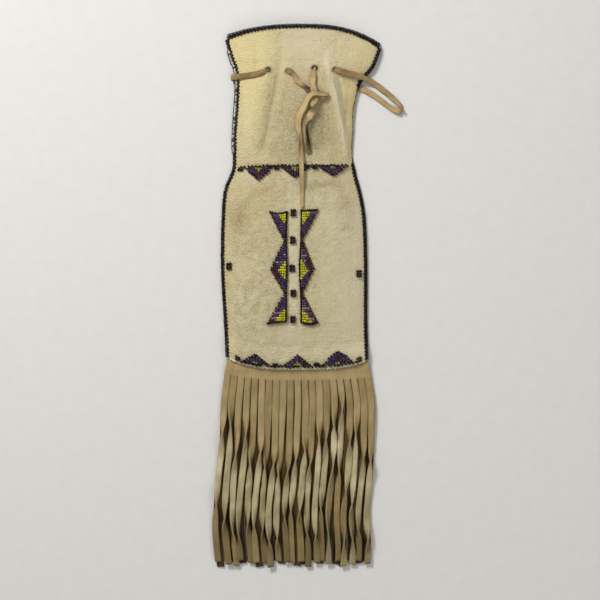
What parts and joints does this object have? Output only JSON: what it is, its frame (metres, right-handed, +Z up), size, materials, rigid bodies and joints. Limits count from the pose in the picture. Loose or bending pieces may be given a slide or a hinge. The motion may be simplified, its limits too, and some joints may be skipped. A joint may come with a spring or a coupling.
{
  "type": "beaded pipe bag",
  "caption": "Long flat hide pouch with a flared open mouth, a laced neck, beaded edges and figures, and a deep cut leather fringe; lies on its back.",
  "frame": {"origin": "bottom centre of the bag's own outline as it lies on its back, the loose thong left out", "axes": "+Z up through the front, +Y from the fringe to the mouth, +X to the viewer's right"},
  "size_m": [0.178, 0.5098, 0.0201],
  "materials": {
    "buckskin": "soft brain-tanned hide, matte suede",
    "fringe_leather": "tan suede, matte",
    "thong_leather": "tan lace, matte with a worn sheen",
    "black_beads": "opaque glass seed beads, glossy",
    "violet_beads": "opaque glass seed beads, glossy",
    "yellow_beads": "opaque glass seed beads, glossy",
    "green_beads": "opaque glass seed beads, glossy",
    "plum_beads": "opaque glass seed beads, glossy"
  },
  "bodies": {
    "root": {"front_panel": "buckskin", "back_panel": "buckskin", "fringe_front": "fringe_leather", "fringe_back": "fringe_leather", "thong": "thong_leather", "left_seam_beads": "black_beads", "right_seam_beads": "black_beads", "mouth_beads_front": "black_beads", "mouth_beads_back": "black_beads", "upper_band": "black_beads", "upper_band_core_1": "green_beads", "upper_band_core_2": "green_beads", "upper_band_core_3": "green_beads", "lower_band": "black_beads", "lower_band_core_1": "green_beads", "lower_band_core_2": "green_beads", "lower_band_core_3": "green_beads", "left_figure": "violet_beads", "left_figure_core_1": "yellow_beads", "left_figure_core_2": "yellow_beads", "left_figure_core_3": "yellow_beads", "right_figure": "violet_beads", "right_figure_core_1": "yellow_beads", "right_figure_core_2": "yellow_beads", "right_figure_core_3": "yellow_beads", "centre_box_1": "plum_beads", "centre_box_2": "plum_beads", "centre_box_3": "plum_beads", "centre_box_4": "plum_beads", "centre_box_5": "plum_beads", "side_box_left": "plum_beads", "side_box_right": "plum_beads"}
  },
  "joints": []
}
